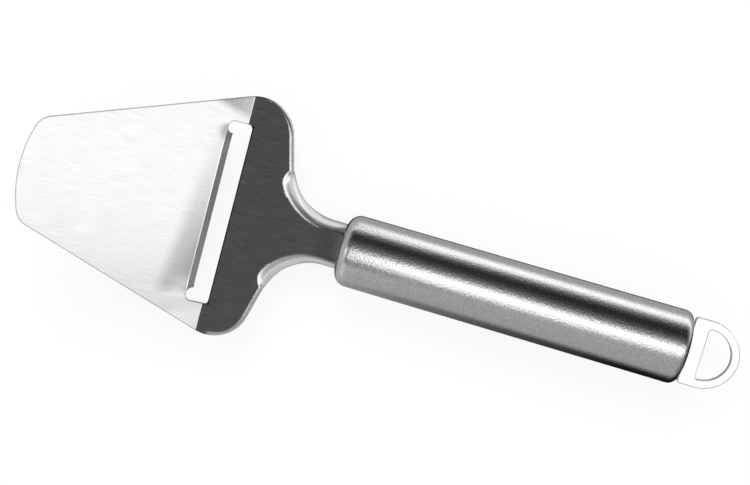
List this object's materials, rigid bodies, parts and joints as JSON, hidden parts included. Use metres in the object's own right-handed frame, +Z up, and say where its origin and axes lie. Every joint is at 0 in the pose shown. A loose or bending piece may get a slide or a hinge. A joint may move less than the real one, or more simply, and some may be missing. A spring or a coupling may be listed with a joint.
{
  "type": "cheese slicer",
  "caption": "Cheese slicer: spatula-shaped steel blade with a slicing slot, on a hollow round handle with a hanging loop.",
  "frame": {"origin": "below the middle of the object's length, on its plane of symmetry, level with the lowest line of the round handle", "axes": "+X from the paddle's tip to the hanging loop, parallel to the handle; +Y across the blade, along the cutting edge; +Z up, towards the blade's top side, where the slice comes out"},
  "size_m": [0.2226, 0.078, 0.0403],
  "materials": {
    "blade_steel": "stainless steel, ground lengthwise to a fine brushed finish",
    "handle_steel": "stainless steel, satin finish ground round the handle",
    "loop_steel": "stainless steel, smooth bright satin",
    "core_plastic": "moulded plastic, hidden in the handle"
  },
  "bodies": {
    "root": {"blade": "blade_steel", "handle_shell": "handle_steel", "rear_cap": "handle_steel", "hanging_loop": "loop_steel", "tang_plug": "core_plastic"}
  },
  "joints": []
}
